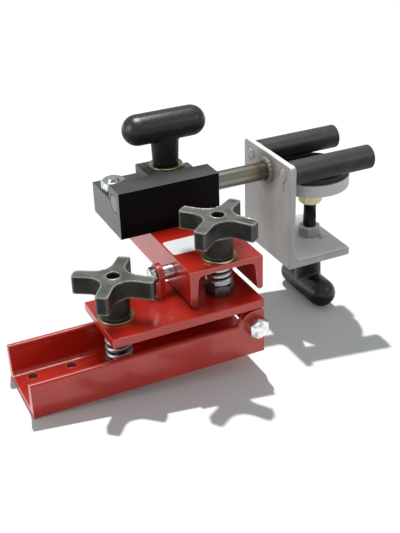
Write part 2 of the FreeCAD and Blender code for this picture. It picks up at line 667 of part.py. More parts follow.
for side in ("-", "+"):
    circle(peg_holes, f"rod_y{side}peg_gap/2", "peg_z", "peg_core_d")
pocket(angle, peg_holes, both_ways=True)

for name, side in (("front", "-"), ("back", "+")):
    y = f"rod_y{side}peg_gap/2"
    core_end = "peg_end-peg_cap-0.5"
    part(f"peg_core_{name}", cylinder(f"peg_core_rod_{name}", "peg_core_d/2-0.02",
                                      f"{core_end}-angle_left-0.5", "angle_left+0.5", y, "peg_z", X_AXIS))
    sleeve = cylinder(f"peg_sleeve_outside_{name}", "peg_od/2", "peg_end-angle_left-angle_thick-0.2",
                      "angle_left+angle_thick+0.2", y, "peg_z", X_AXIS)
    hollow = cylinder(f"peg_sleeve_inside_{name}", "peg_core_d/2+0.05", "peg_end-peg_cap-angle_left",
                      "angle_left", y, "peg_z", X_AXIS)
    part(f"peg_sleeve_{name}", cut(f"peg_sleeve_cut_{name}", sleeve, hollow))

# ---------------------------------------------------------------- clamp screw and pad
leg_top = "angle_bottom+angle_thick"
nut("leg_nut", "leg_nut_af", "leg_nut_tall", "screw_axis_x", "rod_y", leg_top, "clamp_nut_hole")
pad_under = "pad_bottom-swivel_tall"
disc = cylinder("pad_disc_plate", "pad_radius", "pad_disc", "screw_axis_x", "rod_y", "pad_bottom")
swivel = cylinder("pad_swivel", "swivel_radius", "swivel_tall", "screw_axis_x", "rod_y", pad_under)
socket = cylinder("pad_socket", "clamp_screw_od/2+0.05", "swivel_tall+1", "screw_axis_x", "rod_y",
                  f"{pad_under}-1")
part("pad_disc", cut("pad_disc_cut", fuse("pad_disc_whole", disc, swivel), socket))
part("pad_rubber", cylinder("pad_rubber_sheet", "pad_radius-2", "pad_rubber", "screw_axis_x", "rod_y",
                            "pad_bottom+pad_disc"))
nut("pad_nut", "pad_nut_af", "pad_nut_tall", "screw_axis_x", "rod_y", f"{pad_under}-pad_nut_tall-0.3",
    "clamp_screw_od+0.1")
lower_foot = "lower_bar_z+stem_height"
t_handle("lower_t_handle", "screw_axis_x", "rod_y", lower_foot, "-", "y", "clamp_screw_od")
part("clamp_screw", cylinder("clamp_screw_rod", "clamp_screw_od/2",
                             f"{pad_under}+swivel_tall-1-({lower_foot})+22", "screw_axis_x", "rod_y",
                             f"({lower_foot})-22"))

# ---------------------------------------------------------------- check and write
doc.recompute()
for item in doc.Objects:
    if {"Invalid", "Error"} & set(item.State):
        raise RuntimeError(f"{item.Label} is {item.State}")
for label, item in made.items():
    if item.Shape.isNull() or not item.Shape.isValid():
        raise RuntimeError(f"{label} has no valid shape")
os.makedirs("parts", exist_ok=True)
for label, item in made.items():
    item.Shape.exportStep(f"parts/{label}.step")
    print(f"{label:18s} {len(item.Shape.Solids)} solid(s) {item.Shape.Volume / 1000:8.2f} cm3")
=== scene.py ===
"""The looks of an adjustable holding jig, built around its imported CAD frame.

The jig is followed from the bench up: base channel, hinge, tilt plate, knob 1, arm, knob 2, split
block and its handle, rod, clamp angle with pegs, screw and pad. All lengths are in metres.
"""

import json
import math

import bpy
from mathutils import Matrix, Vector

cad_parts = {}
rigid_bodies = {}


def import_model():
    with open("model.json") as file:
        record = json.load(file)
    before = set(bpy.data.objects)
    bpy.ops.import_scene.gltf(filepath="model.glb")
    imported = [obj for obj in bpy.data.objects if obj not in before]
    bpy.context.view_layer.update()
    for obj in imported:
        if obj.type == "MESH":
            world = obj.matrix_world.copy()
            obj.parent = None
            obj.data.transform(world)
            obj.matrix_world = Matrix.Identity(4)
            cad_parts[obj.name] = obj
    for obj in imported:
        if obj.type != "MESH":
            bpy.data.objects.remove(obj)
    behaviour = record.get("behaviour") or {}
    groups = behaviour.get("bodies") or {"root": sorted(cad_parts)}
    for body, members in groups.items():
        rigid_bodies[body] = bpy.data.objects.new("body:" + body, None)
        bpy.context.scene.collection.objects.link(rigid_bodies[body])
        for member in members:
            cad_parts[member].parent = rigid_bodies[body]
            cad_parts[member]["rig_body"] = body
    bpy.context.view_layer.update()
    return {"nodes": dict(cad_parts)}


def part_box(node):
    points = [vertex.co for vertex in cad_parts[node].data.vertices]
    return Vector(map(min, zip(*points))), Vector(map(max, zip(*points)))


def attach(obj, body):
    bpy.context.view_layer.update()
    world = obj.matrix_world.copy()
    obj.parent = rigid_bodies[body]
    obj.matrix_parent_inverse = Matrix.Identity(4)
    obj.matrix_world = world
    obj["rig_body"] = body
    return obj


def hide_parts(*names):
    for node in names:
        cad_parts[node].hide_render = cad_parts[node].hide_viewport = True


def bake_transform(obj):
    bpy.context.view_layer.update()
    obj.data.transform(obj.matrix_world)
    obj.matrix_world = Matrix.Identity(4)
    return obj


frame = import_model()
nodes = frame["nodes"]

# ---------------------------------------------------------------- camera
# A long lens, a little to the left of the front and above the jig, looking down at it. The yaw is
# measured from straight ahead towards +X, and the camera leans slightly to one side.
camera = bpy.data.objects.new("camera", bpy.data.cameras.new("camera"))
bpy.context.scene.collection.objects.link(camera)
bpy.context.scene.camera = camera
camera.data.lens = 64.19
camera.data.clip_end = 50
yaw, pitch, roll = (math.radians(angle) for angle in (24.67, 28.94, -1.84))
aim = (Matrix.Rotation(-yaw, 4, "Z") @ Matrix.Rotation(math.pi / 2 - pitch, 4, "X")
       @ Matrix.Rotation(roll, 4, "Z"))
camera.matrix_world = Matrix.Translation((-0.18077, -0.71807, 0.52564)) @ aim

# ---------------------------------------------------------------- floor and light
# The jig isn't bolted down: it tips on the left end of its base until the lower handle touches.
# The floor is a wide pale sheet through both, so it falls a little towards the right.
channel_low, channel_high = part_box("base_channel")
grip_low, grip_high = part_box("lower_t_handle")
grip_radius = (grip_high.x - grip_low.x) / 2
grip_run = (grip_low.x + grip_high.x) / 2 - channel_low.x
grip_rise = grip_low.z + grip_radius - channel_low.z
floor_slope = (math.asin(grip_radius / math.hypot(grip_run, grip_rise))
               - math.atan2(grip_rise, grip_run))
bpy.ops.object.select_all(action="DESELECT")
bpy.ops.mesh.primitive_plane_add(size=120)
floor = bpy.context.object
floor.name = "studio_floor"
tip = Matrix.Rotation(floor_slope, 4, "Y")
floor_clearance = 0.0002
floor.matrix_world = Matrix.Translation((channel_low.x, 0, channel_low.z - floor_clearance)) @ tip
floor_paint = bpy.data.materials.new("floor_sheet")
floor_paint.use_nodes = True
floor_surface = floor_paint.node_tree.nodes["Principled BSDF"].inputs
floor_surface["Base Color"].default_value = (0.82, 0.82, 0.82, 1)
floor_surface["Roughness"].default_value = 0.9
floor_surface["Specular IOR Level"].default_value = 0.1
floor.data.materials.append(floor_paint)

bpy.context.scene.view_settings.view_transform = "Standard"
world = bpy.data.worlds.new("studio")
bpy.context.scene.world = world
world.use_nodes = True
sky = world.node_tree.nodes["Background"].inputs
sky["Color"].default_value = (0.92, 0.99, 1, 1)
sky["Strength"].default_value = 0.36
middle = Vector((0.15, 0.05, 0.0))
floor_only = bpy.data.collections.new("floor_only")
all_but_floor = bpy.data.collections.new("all_but_floor")
floor_only.objects.link(floor)
all_but_floor.objects.link(floor)
all_but_floor.collection_objects[0].light_linking.link_state = "EXCLUDE"


def lamp(name, kind, energy, offset, receivers, **settings):
    """A light at an offset from the jig's middle, turned towards it, for its receivers alone."""
    light = bpy.data.objects.new(name, bpy.data.lights.new(name, kind))
    bpy.context.scene.collection.objects.link(light)
    light.data.energy = energy
    for setting, value in settings.items():
        setattr(light.data, setting, value)
    place = middle + Vector(offset)
    facing = (middle - place).to_track_quat("-Z", "Y")
    light.matrix_world = Matrix.Translation(place) @ facing.to_matrix().to_4x4()
    light.light_linking.receiver_collection = receivers


# The sun only lights the floor, where it gives the crisp shadow, and a weak fill keeps that shadow
# from going too dark. Soft boxes above, to the left and to the front right light only the jig.
lamp("sun", "SUN", 3.2, (0.16, 0.50, 1.0), floor_only, angle=math.radians(1.6))
lamp("floor_fill", "SUN", 0.19, (0, 0, 1), floor_only, use_shadow=False)
lamp("overhead", "AREA", 9.5, (0.05, 0.20, 1.15), all_but_floor, size=0.5)
lamp("left", "AREA", 3.2, (-1.0, 0.1, 0.55), all_but_floor, size=0.7)
lamp("front_right", "AREA", 0.75, (0.75, -0.85, 0.75), all_but_floor, size=0.6)

# ---------------------------------------------------------------- base channel
# A length of hot-rolled channel, sawn, drilled and powder coated red. The flanges taper towards
# rounded toes, and the web lies on the bench with four bolt holes in its left end.


class Wire:
    """One output of a shader node, with Python's arithmetic."""

    def __init__(self, finish, socket):
        self.finish, self.socket = finish, socket

    def maths(self, operation, *values):
        return self.finish.add("Math", {"operation": operation}, dict(enumerate(values)))

    def __add__(self, other):
        return self.maths("ADD", self, other)

    def __sub__(self, other):
        return self.maths("SUBTRACT", self, other)

    def __rsub__(self, other):
        return self.maths("SUBTRACT", other, self)

    def __mul__(self, other):
        return self.maths("MULTIPLY", self, other)

    def __pow__(self, other):
        return self.maths("POWER", self, other)

    __radd__, __rmul__ = __add__, __mul__

    def within(self, low, high):
        """0 at low and below, 1 at high and above, and smooth between."""
        return self.finish.add("MapRange", {"interpolation_type": "SMOOTHSTEP"},
                               {"Value": self, "From Min": low, "From Max": high})


class Finish:
    """A surface finish: a Principled shader and the nodes that vary it."""

    def __init__(self, name, constants):
        self.material = bpy.data.materials.new(name)
        self.material.use_nodes = True
        self.tree = self.material.node_tree
        self.surface = self.tree.nodes["Principled BSDF"]
        for socket, value in constants.items():
            self.surface.inputs[socket].default_value = value

    def add(self, kind, settings=None, sockets=None, output=0):
        """A node of that kind, with its settings, then the values or links of its sockets."""
        node = self.tree.nodes.new("ShaderNode" + kind)
        for setting, value in (settings or {}).items():
            if setting == "stops":
                while len(node.color_ramp.elements) < len(value):
                    node.color_ramp.elements.new(0.5)
                for element, (position, colour) in zip(node.color_ramp.elements, value):
                    element.position, element.color = position, (*colour, 1)
            else:
                setattr(node, setting, value)
        for socket, value in (sockets or {}).items():
            if isinstance(value, Wire):
                self.tree.links.new(value.socket, node.inputs[socket])
            else:
                node.inputs[socket].default_value = value
        return Wire(self, node.outputs[output])

    def feed(self, **inputs):
        """Link wires to the surface: base_color, roughness, normal and so on."""
        for name, wire in inputs.items():
            self.tree.links.new(wire.socket, self.surface.inputs[name.replace("_", " ").title()])

    def place(self, stretch=(1, 1, 1)):
        """Coordinates that are fixed to the piece, denser along the axes with a larger stretch."""
        coordinates = self.add("TexCoord", output="Object")
        if stretch == (1, 1, 1):
            return coordinates
        return self.add("Mapping", None, {"Vector": coordinates, "Scale": stretch})

    def part_of(self, vector, axis):
        """The x, y or z part of a vector."""
        return self.add("SeparateXYZ", None, {0: vector}, output="xyz".index(axis))

    def noise(self, grain, detail=3.0, stretch=(1, 1, 1)):
        """Cloudy noise whose patches are about as wide as grain."""
        return self.add("TexNoise", None, {"Vector": self.place(stretch), "Scale": 1 / grain,
                                           "Detail": detail})

    def mix(self, factor, first, second):
        """A colour between two, each a wire or three numbers."""
        first, second = (colour if isinstance(colour, Wire) else (*colour, 1)
                         for colour in (first, second))
        return self.add("Mix", {"data_type": "RGBA"}, {0: factor, 6: first, 7: second}, output=2)

    def bump(self, height, depth):
        """A normal bent by a height from 0 to 1, for a relief of that depth."""
        return self.add("Bump", None, {"Height": height, "Distance": depth, "Strength": 1.0})

    def facing(self, axis):
        """How far the surface faces along an axis of its object, from -1 to 1."""
        return self.part_of(self.add("TexCoord", output="Normal"), axis)

    def edge(self, radius, gain):
        """0 on open faces, and up to 1 on corners sharper than the radius."""
        rounded = self.add("Bevel", {"samples": 4}, {"Radius": radius})
        plain = self.add("NewGeometry", output="Normal")
        agreement = self.add("VectorMath", {"operation": "DOT_PRODUCT"}, {0: rounded, 1: plain},
                             output=1)
        return self.add("Clamp", None, {0: (1 - agreement) * gain})


def alone(piece):
    """Make a piece the only selected object, and the active one."""
    bpy.ops.object.select_all(action="DESELECT")
    piece.select_set(True)
    bpy.context.view_layer.objects.active = piece


def modify(piece, kind, **settings):
    """Add a modifier with these settings and apply it."""
    alone(piece)
    modifier = piece.modifiers.new(kind.lower(), kind)
    for setting, value in settings.items():
        setattr(modifier, setting, value)
    bpy.ops.object.modifier_apply(modifier=modifier.name)
    return piece


def copied(node, name):
    """A piece that starts as a CAD node's shape, with its loose triangles merged into whole faces."""
    piece = bpy.data.objects.new(name, nodes[node].data.copy())
    bpy.context.scene.collection.objects.link(piece)
    piece.data.materials.clear()
    alone(piece)
    bpy.ops.mesh.customdata_custom_splitnormals_clear()
    bpy.ops.object.mode_set(mode="EDIT")
    bpy.ops.mesh.select_all(action="SELECT")
    bpy.ops.mesh.remove_doubles(threshold=2e-6)
    bpy.ops.mesh.dissolve_limited(angle_limit=math.radians(0.6))
    bpy.ops.object.mode_set(mode="OBJECT")
    return piece


def finished(piece, finish, slot, body, *stands_for, smooth=32):
    """Give a piece its finish and smooth shading, put it on its body and hide the CAD nodes it stands
    for. The slot is not used.
    """
    alone(piece)
    bpy.ops.object.transform_apply(location=True, rotation=True, scale=True)
    piece.data.materials.clear()
    piece.data.materials.append(finish.material)
    bpy.ops.object.shade_smooth_by_angle(angle=math.radians(smooth))
    if stands_for:
        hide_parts(*stands_for)
    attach(piece, body)
    return piece


def break_edges(piece, width, segments=2):
    """Break a piece's sharp edges with a small round."""
    return modify(piece, "BEVEL", width=width, segments=segments, limit_method="ANGLE",
                  angle_limit=math.radians(32))


def weigh(piece):
    """Let each broad face, rather than the narrow ones along its edges, set the shading."""
    return modify(piece, "WEIGHTED_NORMAL", keep_sharp=True)


def broken(node, finish, slot, width, segments=2):
    """A CAD node's shape with its sharp edges broken by a small round."""
    piece = break_edges(copied(node, node + "_finished"), width, segments)
    finished(piece, finish, slot, nodes[node]["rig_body"], node)
    return weigh(piece)


red_paint = Finish("red_powder_coat", {"IOR": 1.5, "Coat Weight": 0.6, "Coat Roughness": 0.12,
                                       "Coat IOR": 1.5})
cloud = red_paint.noise(0.03)
orange_peel = red_paint.noise(0.0016, 1.0)
paint_film = red_paint.mix(cloud.within(0.3, 0.75), (0.52, 0.016, 0.004), (0.42, 0.011, 0.003))
# The pale pink mixed in on sharp edges is a painted highlight along the edges.
red_paint.feed(
    base_color=red_paint.mix(red_paint.edge(0.0012, 3.5), paint_film, (0.85, 0.28, 0.20)),
    roughness=0.26 + 0.16 * cloud,
    normal=red_paint.bump(orange_peel, 0.00005))
base = copied("base_channel", "base_channel_finished")
for node in ("base_ear_front", "base_ear_back"):
    modify(base, "BOOLEAN", operation="UNION", object=nodes[node], solver="EXACT")
break_edges(base, 0.0006)
finished(base, red_paint, "red_paint", "base", "base_channel", "base_ear_front", "base_ear_back")
weigh(base)

# ---------------------------------------------------------------- hinge
# A half-inch bolt with bright zinc plate runs through both ears and both leaves, with its head at
# the front and a nut at the back. The head has a chamfered rim.
bright_zinc = Finish("bright_zinc_plate", {"Metallic": 1.0})
mottle = bright_zinc.noise(0.004, 4.0)
bright_zinc.feed(
    base_color=bright_zinc.mix(mottle.within(0.42, 0.68), (0.90, 0.92, 0.93), (0.40, 0.43, 0.46)),
    roughness=0.12 + 0.28 * mottle,
    normal=bright_zinc.bump(bright_zinc.noise(0.0012), 0.00008))
turn_to_x = Matrix.Rotation(math.pi / 2, 4, "Y")
turn_to_y = Matrix.Rotation(-math.pi / 2, 4, "X")
turn_to_z = Matrix.Identity(4)


def rod_between(start, length, radius, turn, sides=48):
    """A round bar that starts at a point and runs along the turned Z axis."""
    bpy.ops.object.select_all(action="DESELECT")
    bpy.ops.mesh.primitive_cylinder_add(vertices=sides, radius=radius, depth=length,
                                        location=(0, 0, length / 2))
    bar = bpy.context.object
    bpy.ops.object.transform_apply(location=True)
    bar.matrix_world = Matrix.Translation(start) @ turn
    return bar


def combine(piece, other, operation):
    """Join, cut or intersect a piece with another, which is used up."""
    modify(piece, "BOOLEAN", operation=operation, object=other, solver="EXACT")
    bpy.data.objects.remove(other)
    return piece


def hexagon(name, across, height, start, turn, both_ends=False, bore=0.0, edge=0.00025):
    """A hexagon with its corners chamfered at its far end, or at both, and a bore in a nut."""
    bar = rod_between((0, 0, 0), height, across / math.sqrt(3), turn_to_z, sides=6)
    flat = 0.475 * across
    slope = 1.732  # a chamfer of 30 degrees
    cones = [(flat + slope * height, flat)] + [(flat, flat + slope * height)] * both_ends
    for wide_below, wide_above in cones:
        bpy.ops.mesh.primitive_cone_add(vertices=72, radius1=wide_below, radius2=wide_above,
                                        depth=height, location=(0, 0, height / 2))
        combine(bar, bpy.context.object, "INTERSECT")
    if bore:
        combine(bar, rod_between((0, 0, -0.001), height + 0.002, bore / 2, turn_to_z), "DIFFERENCE")
    bar.name = name
    modify(bar, "BEVEL", width=edge, segments=2, limit_method="ANGLE", angle_limit=math.radians(25))
    bar.matrix_world = Matrix.Translation(start) @ turn
    return bar


def ringed(name, length, radius, sides, cuts):
    """An upright bar whose sides are cut into rings, to be shaped point by point."""
    bar = rod_between((0, 0, 0), length, radius, turn_to_z, sides)
    bar.name = name
    for edge in bar.data.edges:
        low, high = (bar.data.vertices[index].co.z for index in edge.vertices)
        edge.select = abs(high - low) > length / 2
    for face in bar.data.polygons:
        face.select = False
    alone(bar)
    bpy.ops.object.mode_set(mode="EDIT")
    bpy.ops.mesh.select_mode(type="EDGE")
    bpy.ops.mesh.subdivide(number_cuts=cuts)
    bpy.ops.object.mode_set(mode="OBJECT")
    return bar


def screw(name, start, length, radius, turn, pitch=0.00195, depth=0.0011):
    """A bar with a thread cut all along it: each ring of points follows the thread's ridge."""
    bar = ringed(name, length, radius, 40, round(length / pitch * 6))
    for vertex in bar.data.vertices:
        turns = vertex.co.z / pitch - math.atan2(vertex.co.y, vertex.co.x) / (2 * math.pi)
        groove = min(1.0, 2.4 * abs(turns % 1 - 0.5))
        end = max(0.0, 1 - min(vertex.co.z, length - vertex.co.z) / pitch)
        shrink = 1 - depth * max(1 - groove, 0.8 * end) / radius
        vertex.co.x *= shrink
        vertex.co.y *= shrink
    bar.matrix_world = Matrix.Translation(start) @ turn
    return bar


def middle_of(node):
    """The middle of a CAD node's box."""
    low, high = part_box(node)
    return (low + high) / 2


half_inch = 0.0127
thread_fit = 0.0001
bolt_low, bolt_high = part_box("hinge_bolt")
hinge_axis = middle_of("hinge_nut")
head_across = bolt_high.z - bolt_low.z
head_back = (hinge_axis.x, channel_low.y, hinge_axis.z)
head = hexagon("hinge_head", head_across, channel_low.y - bolt_low.y, head_back,
               Matrix.Rotation(math.pi / 2, 4, "X"))
shank_long = 0.080
combine(head, rod_between(head_back, shank_long, half_inch / 2, turn_to_y), "UNION")
finished(head, bright_zinc, "bright_zinc", "base", "hinge_bolt")
thread_from = 0.0415
thread = screw("hinge_thread", (hinge_axis.x, thread_from, hinge_axis.z), bolt_high.y - thread_from,
               half_inch / 2, turn_to_y)
finished(thread, bright_zinc, "bright_zinc", "base")
nut_low, nut_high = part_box("hinge_nut")
nut = hexagon("hinge_nut_finished", head_across, nut_high.y - nut_low.y,
              (hinge_axis.x, nut_low.y, hinge_axis.z), turn_to_y, True, half_inch + thread_fit)
finished(nut, bright_zinc, "bright_zinc", "base", "hinge_nut")

# ---------------------------------------------------------------- tilt plate
# A flat bar with two hinge leaves welded under its right end and two lugs welded on top, all
# sprayed together after welding. Each weld is a rippled fillet that the paint has softened.
for node in ("tilt_plate", "hinge_leaf_front", "hinge_leaf_back", "pivot_lug_outer",
             "pivot_lug_inner"):
    broken(node, red_paint, "red_paint", 0.0006)


def weld_bead(name, start, end, radius, finish, slot, body):
    """A weld run between two points: overlapping puddles of weld metal, with rounded ends."""
    start, end = Vector(start), Vector(end)
    length = (end - start).length
    turn = (end - start).to_track_quat("Z", "Y").to_matrix().to_4x4()
    ring_spacing, puddle = 0.0004, 0.0021
    bead = ringed(name, length, radius, 16, max(8, round(length / ring_spacing)))
    for vertex in bead.data.vertices:
        along = vertex.co.z
        end_round = min(1.0, math.sqrt(max(0.0, min(along, length - along)) / radius) + 0.02)
        swell = 0.86 + 0.14 * abs(math.sin(math.pi * along / puddle)) + 0.04 * math.sin(along * 900)
        vertex.co.x *= swell * end_round
        vertex.co.y *= swell * end_round
    bead.matrix_world = Matrix.Translation(start) @ turn
    return finished(bead, finish, slot, body, smooth=60)


for lug in ("pivot_lug_outer", "pivot_lug_inner"):
    low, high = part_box(lug)
    foot = low.z + 0.0004
    for side, x in (("left", low.x), ("right", high.x)):
        weld_bead(f"{lug}_weld_{side}", (x, low.y + 0.001, foot), (x, high.y - 0.001, foot), 0.0019,
                  red_paint, "red_paint", "tilt")
for leaf in ("hinge_leaf_front", "hinge_leaf_back"):
    low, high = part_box(leaf)
    for side, y in (("front", low.y), ("back", high.y)):
        if abs(y) < 0.025:
            weld_bead(f"{leaf}_weld_{side}", (low.x + 0.001, y, high.z - 0.0004),
                      (high.x - 0.001, y, high.z - 0.0004), 0.0018, red_paint, "red_paint", "tilt")
for ear in ("base_ear_front", "base_ear_back"):
    low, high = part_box(ear)
    top = channel_high.z - 0.0012
    weld_bead(ear + "_weld_top", (low.x - 0.0002, low.y + 0.0016, top),
              (low.x - 0.0002, high.y - 0.0016, top), 0.0024, red_paint, "red_paint", "base")
    outer = low.y + 0.0012 if ear.endswith("front") else high.y - 0.0012
    weld_bead(ear + "_weld_edge", (low.x - 0.0010, outer, top - 0.0005),
              (low.x + 0.0030, outer, top + 0.0085), 0.0020, red_paint, "red_paint", "base")

# ---------------------------------------------------------------- arm pivot
# A three-eighths bolt through the outer lug, a plain spacer and the arm, into the inner lug.
pivot_axis = middle_of("pivot_spacer")
lug_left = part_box("pivot_lug_outer")[0].x
bolt_low, bolt_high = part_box("pivot_bolt")
spacer_low, spacer_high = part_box("pivot_spacer")
head_right = (lug_left, pivot_axis.y, pivot_axis.z)
pivot = hexagon("pivot_head", spacer_high.z - spacer_low.z, lug_left - bolt_low.x, head_right,
                Matrix.Rotation(-math.pi / 2, 4, "Y"))
pivot_radius = 0.00475
combine(pivot, rod_between(head_right, bolt_high.x - lug_left, pivot_radius, turn_to_x), "UNION")
finished(pivot, bright_zinc, "bright_zinc", "tilt", "pivot_bolt")
broken("pivot_spacer", bright_zinc, "bright_zinc", 0.0004)

# ---------------------------------------------------------------- knob washers, lock nuts and studs
# Flat washers with yellow zinc plate lie under the knobs. The studs are half-inch threaded rod,
# and each passes through a large dark nut that seats its spring.
yellow_zinc = Finish("yellow_zinc_plate", {"Metallic": 1.0})
tarnish = yellow_zinc.noise(0.006, 2.0)
yellow_zinc.feed(
    base_color=yellow_zinc.mix(tarnish.within(0.35, 0.65), (0.62, 0.48, 0.24), (0.42, 0.40, 0.26)),
    roughness=0.24 + 0.2 * yellow_zinc.noise(0.003),
    normal=yellow_zinc.bump(yellow_zinc.noise(0.001), 0.00004))
dark_steel = Finish("dark_steel", {"Metallic": 0.9})
scale = dark_steel.noise(0.003, 4.0)
dark_steel.feed(
    base_color=dark_steel.mix(scale, (0.05, 0.05, 0.055), (0.20, 0.20, 0.21)),
    roughness=0.32 + 0.2 * scale,
    normal=dark_steel.bump(dark_steel.noise(0.0008), 0.00008))
for node in ("knob_washer_1", "knob_washer_2", "jaw_washer"):
    broken(node, yellow_zinc, "yellow_zinc", 0.0006, 3)


def upright_nut(node, finish, slot, spin, bore, edge=0.00025):
    """A flat-lying nut in place of its CAD node, spun by some degrees about its bore."""
    low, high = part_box(node)
    centre = middle_of(node)
    nut = hexagon(node + "_finished", high.y - low.y, high.z - low.z, (centre.x, centre.y, low.z),
                  Matrix.Rotation(math.radians(spin), 4, "Z"), True, bore, edge)
    finished(nut, finish, slot, nodes[node]["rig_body"], node)


def upright_thread(node, centre, radius, finish, slot, pitch=0.00195):
    """A threaded bar in place of its CAD node, on a centre line."""
    low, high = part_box(node)
    stud = screw(node + "_thread", (centre.x, centre.y, low.z), high.z - low.z, radius, turn_to_z,
                 pitch)
    finished(stud, finish, slot, nodes[node]["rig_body"], node)


loose_bore = 0.0172
for number in (1, 2):
    upright_nut(f"lock_nut_{number}", dark_steel, "dark_steel", 18, loose_bore)
    upright_thread(f"stud_{number}", middle_of(f"lock_nut_{number}"), half_inch / 2,
                   dark_steel, "dark_steel")

# ---------------------------------------------------------------- springs
# Round zinc-plated wire, coiled with its last turn at each end closed and ground flat.
spring_zinc = Finish("spring_zinc", {"Metallic": 1.0})
draw = spring_zinc.noise(0.003, 3.0)
spring_zinc.feed(
    base_color=spring_zinc.mix(draw, (0.72, 0.73, 0.76), (0.50, 0.51, 0.55)),
    roughness=0.25 + 0.2 * draw,
    normal=spring_zinc.bump(spring_zinc.noise(0.0007), 0.00004))
for number, below, above, turns in ((1, "base", "tilt", 5.5), (2, "tilt", "arm", 4.2)):
    low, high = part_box(f"spring_{number}")
    centre = middle_of(f"spring_{number}")
    wire_radius = 0.0022
    coil_radius = (high.x - low.x) / 2 - wire_radius
    points_a_turn = 24
    count = round(turns * points_a_turn)
    curve = bpy.data.curves.new(f"spring_{number}_wire", "CURVE")
    curve.dimensions = "3D"
    curve.bevel_depth = wire_radius
    curve.bevel_resolution = 5
    curve.use_fill_caps = True
    spline = curve.splines.new("NURBS")
    spline.points.add(count)
    closed = 2 * wire_radius * 0.9
    ground_off, wire_end = 0.0007, 3.9
    free = high.z - low.z - 2 * wire_radius + 2 * ground_off
    for index, point in enumerate(spline.points):
        turn = index / points_a_turn
        share = min(max((turn - 1) / (turns - 2), 0.0), 1.0)
        lead_in = closed * 0.5 * (min(turn, 1.0) + max(0.0, turn - turns + 1))
        height = low.z + wire_radius - ground_off + lead_in + (free - closed) * share
        angle = 2 * math.pi * turn + wire_end
        point.co = (centre.x + coil_radius * math.cos(angle),
                    centre.y + coil_radius * math.sin(angle), height, 1)
    spline.order_u = 3
    spline.use_endpoint_u = True
    spring = bpy.data.objects.new(f"spring_{number}_coil", curve)
    bpy.context.scene.collection.objects.link(spring)
    alone(spring)
    bpy.ops.object.convert(target="MESH")
    spring = bpy.context.object
    bpy.ops.object.mode_set(mode="EDIT")
    for height, keep_above in ((low.z, True), (high.z, False)):
        bpy.ops.mesh.select_all(action="SELECT")
        bpy.ops.mesh.bisect(plane_co=(0, 0, height), plane_no=(0, 0, 1), use_fill=True,
                            clear_inner=keep_above, clear_outer=not keep_above)
    bpy.ops.object.mode_set(mode="OBJECT")
    spring.data.materials.append(spring_zinc.material)
    bpy.ops.object.shade_smooth_by_angle(angle=math.radians(50))
    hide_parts(f"spring_{number}")
    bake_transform(spring)

# ---------------------------------------------------------------- star knobs
# Cast iron, tumbled so that the corners are bright. The four prongs have a shallow recess in their
# tops, a raised rim round it, and a tapped hole through the hub.
knob_iron = Finish("tumbled_cast_iron", {"IOR": 1.3})
sand = knob_iron.noise(0.0014, 3.0)
patch = knob_iron.noise(0.012, 3.0)
worn = knob_iron.edge(0.0024, 5.0)
# Painted light: faces turned up get a much lighter colour than the sides and hub, which are painted
# shade.
painted_light_above = knob_iron.facing("z").within(0.35, 0.95)
sides = knob_iron.mix(patch.within(0.35, 0.7), (0.022, 0.019, 0.017), (0.008, 0.007, 0.006))
tops = knob_iron.mix(patch.within(0.35, 0.7), (0.15, 0.155, 0.138), (0.075, 0.078, 0.068))
knob_iron.feed(
    base_color=knob_iron.mix(worn, knob_iron.mix(painted_light_above, sides, tops), (0.86, 0.87, 0.79)),
    metallic=0.85 * worn,
    roughness=0.44 - 0.18 * worn,
    normal=knob_iron.bump(sand, 0.0004))
for number in (1, 2):
    knob = copied(f"star_knob_{number}", f"star_knob_{number}_cast")
    low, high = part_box(f"star_knob_{number}")
    alone(knob)
    bpy.ops.object.mode_set(mode="EDIT")
    bpy.ops.mesh.select_mode(type="FACE")
    bpy.ops.mesh.select_all(action="DESELECT")
    bpy.ops.object.mode_set(mode="OBJECT")
    for face in knob.data.polygons:
        face.select = face.normal.z > 0.9 and face.center.z > high.z - 0.0005
    bpy.ops.object.mode_set(mode="EDIT")
    bpy.ops.mesh.inset(thickness=0.0026, depth=-0.0013, use_boundary=True, use_even_offset=True)
    bpy.ops.object.mode_set(mode="OBJECT")
    modify(knob, "REMESH", mode="VOXEL", voxel_size=0.00062)
    modify(knob, "SMOOTH", factor=0.6, iterations=9)
    hub = middle_of(f"stud_{number}")
    knob_radius, prong_under = 0.039, low.z + 0.019
    for vertex in knob.data.vertices:
        spread = math.hypot(vertex.co.x - hub.x, vertex.co.y - hub.y) / knob_radius
        if vertex.co.z > prong_under:
            vertex.co.z += 0.0012 * (1 - min(spread, 1.0) ** 2) - 0.0004
    finished(knob, knob_iron, "knob_iron", f"knob_{number}", f"star_knob_{number}", smooth=80)

# ---------------------------------------------------------------- arm
# The same channel as the base, turned open side down, with a blank paper label on its web.
broken("arm_channel", red_paint, "red_paint", 0.0005)
paper = Finish("label_paper", {"Roughness": 0.35, "Coat Weight": 0.3})
fibre = paper.noise(0.0015, 4.0)
paper.feed(base_color=paper.mix(fibre, (0.90, 0.90, 0.89), (0.80, 0.80, 0.79)),
           normal=paper.bump(fibre, 0.00002))
label = copied("label_plate", "blank_label")
paper_thick_at_most = 0.001
for edge in label.data.edges:
    start, end = (label.data.vertices[index].co for index in edge.vertices)
    edge.select = (end - start).length < paper_thick_at_most
for face in label.data.polygons:
    face.select = False
alone(label)
bpy.ops.object.mode_set(mode="EDIT")
bpy.ops.mesh.select_mode(type="EDGE")
bpy.ops.mesh.bevel(offset=0.003, segments=6)
bpy.ops.object.mode_set(mode="OBJECT")
finished(label, paper, "white_label", "arm", "label_plate")

